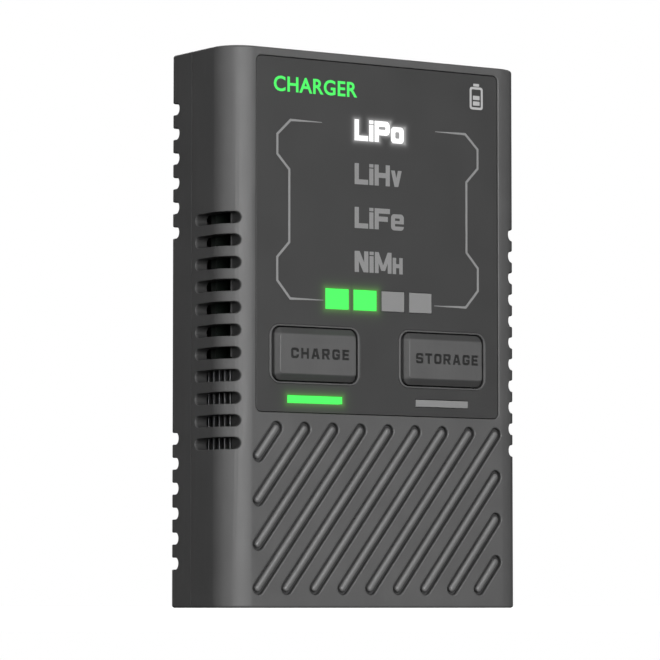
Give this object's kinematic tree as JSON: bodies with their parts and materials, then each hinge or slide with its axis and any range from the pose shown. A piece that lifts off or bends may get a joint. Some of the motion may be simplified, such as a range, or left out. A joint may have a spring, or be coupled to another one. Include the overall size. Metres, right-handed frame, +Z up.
{
  "type": "balance battery charger",
  "caption": "Palm-sized upright charger for small model battery packs, with a lit control panel, press buttons, side and rear vents and a row of output sockets in its upper end.",
  "frame": {"origin": "middle of the lower end, half way between the button faces and the rubber strips", "axes": "+Z up along the height, towards the output sockets; the control panel faces -Y; +X to the right as the panel is read"},
  "size_m": [0.0634, 0.0212, 0.098],
  "materials": {
    "casing": "fine-textured dark grey moulded plastic",
    "panel": "smooth matt darker grey moulded plastic",
    "cap": "fine-textured dark grey moulded plastic, darkened engraved name",
    "lit_window": "lit green translucent plastic",
    "unlit_window": "unlit translucent grey plastic",
    "diffuser": "milky white translucent plastic",
    "board": "dark solder-masked circuit board",
    "component_black": "black moulded component body",
    "socket_white": "off-white moulded nylon",
    "socket_yellow": "yellow moulded nylon",
    "steel": "bright nickel-plated steel",
    "gold": "gold-plated contact",
    "aluminium": "extruded bare aluminium",
    "ferrite": "pressed ferrite powder",
    "capacitor_sleeve": "shrunk printed sleeve",
    "lamp": "moulded lamp package",
    "rubber": "matt black rubber"
  },
  "bodies": {
    "casing": {"front_shell": "casing", "rear_shell": "casing", "control_panel": "panel", "charge_switch_body": "component_black", "charge_status_window": "lit_window", "charge_status_led": "lamp", "storage_switch_body": "component_black", "storage_status_window": "unlit_window", "storage_status_led": "lamp", "level_window_1": "lit_window", "level_led_1": "lamp", "level_window_2": "lit_window", "level_led_2": "lamp", "level_window_3": "unlit_window", "level_led_3": "lamp", "level_window_4": "unlit_window", "level_led_4": "lamp", "mode_led_1": "lamp", "mode_led_2": "lamp", "mode_led_3": "lamp", "mode_led_4": "lamp", "legend_diffuser": "diffuser", "main_board": "board", "heat_sink": "aluminium", "capacitor_1": "capacitor_sleeve", "capacitor_2": "capacitor_sleeve", "power_inductor": "ferrite", "controller_chip": "component_black", "power_switch_chip": "component_black", "power_socket_housing": "socket_yellow", "power_contact_1": "gold", "power_contact_2": "gold", "balance_2s_socket": "socket_white", "balance_2s_pin_1": "steel", "balance_2s_pin_2": "steel", "balance_2s_pin_3": "steel", "balance_3s_socket": "socket_white", "balance_3s_pin_1": "steel", "balance_3s_pin_2": "steel", "balance_3s_pin_3": "steel", "balance_3s_pin_4": "steel", "balance_4s_socket": "socket_white", "balance_4s_pin_1": "steel", "balance_4s_pin_2": "steel", "balance_4s_pin_3": "steel", "balance_4s_pin_4": "steel", "balance_4s_pin_5": "steel", "usb_socket_shell": "steel", "usb_socket_tongue": "component_black", "case_screw_1": "steel", "case_screw_2": "steel", "case_screw_3": "steel", "case_screw_4": "steel", "lower_rubber_strip": "rubber", "upper_rubber_strip": "rubber"},
    "charge_button": {"charge_button": "cap", "charge_switch_plunger": "lamp"},
    "storage_button": {"storage_button": "cap", "storage_switch_plunger": "lamp"}
  },
  "joints": [
    {"name": "charge_button_press", "type": "slide", "parent": "casing", "child": "charge_button", "axis": [0, 1, 0], "range_m": [0, 0.0004], "stiffness_N_per_m": 1500},
    {"name": "storage_button_press", "type": "slide", "parent": "casing", "child": "storage_button", "axis": [0, 1, 0], "range_m": [0, 0.0004], "stiffness_N_per_m": 1500}
  ]
}
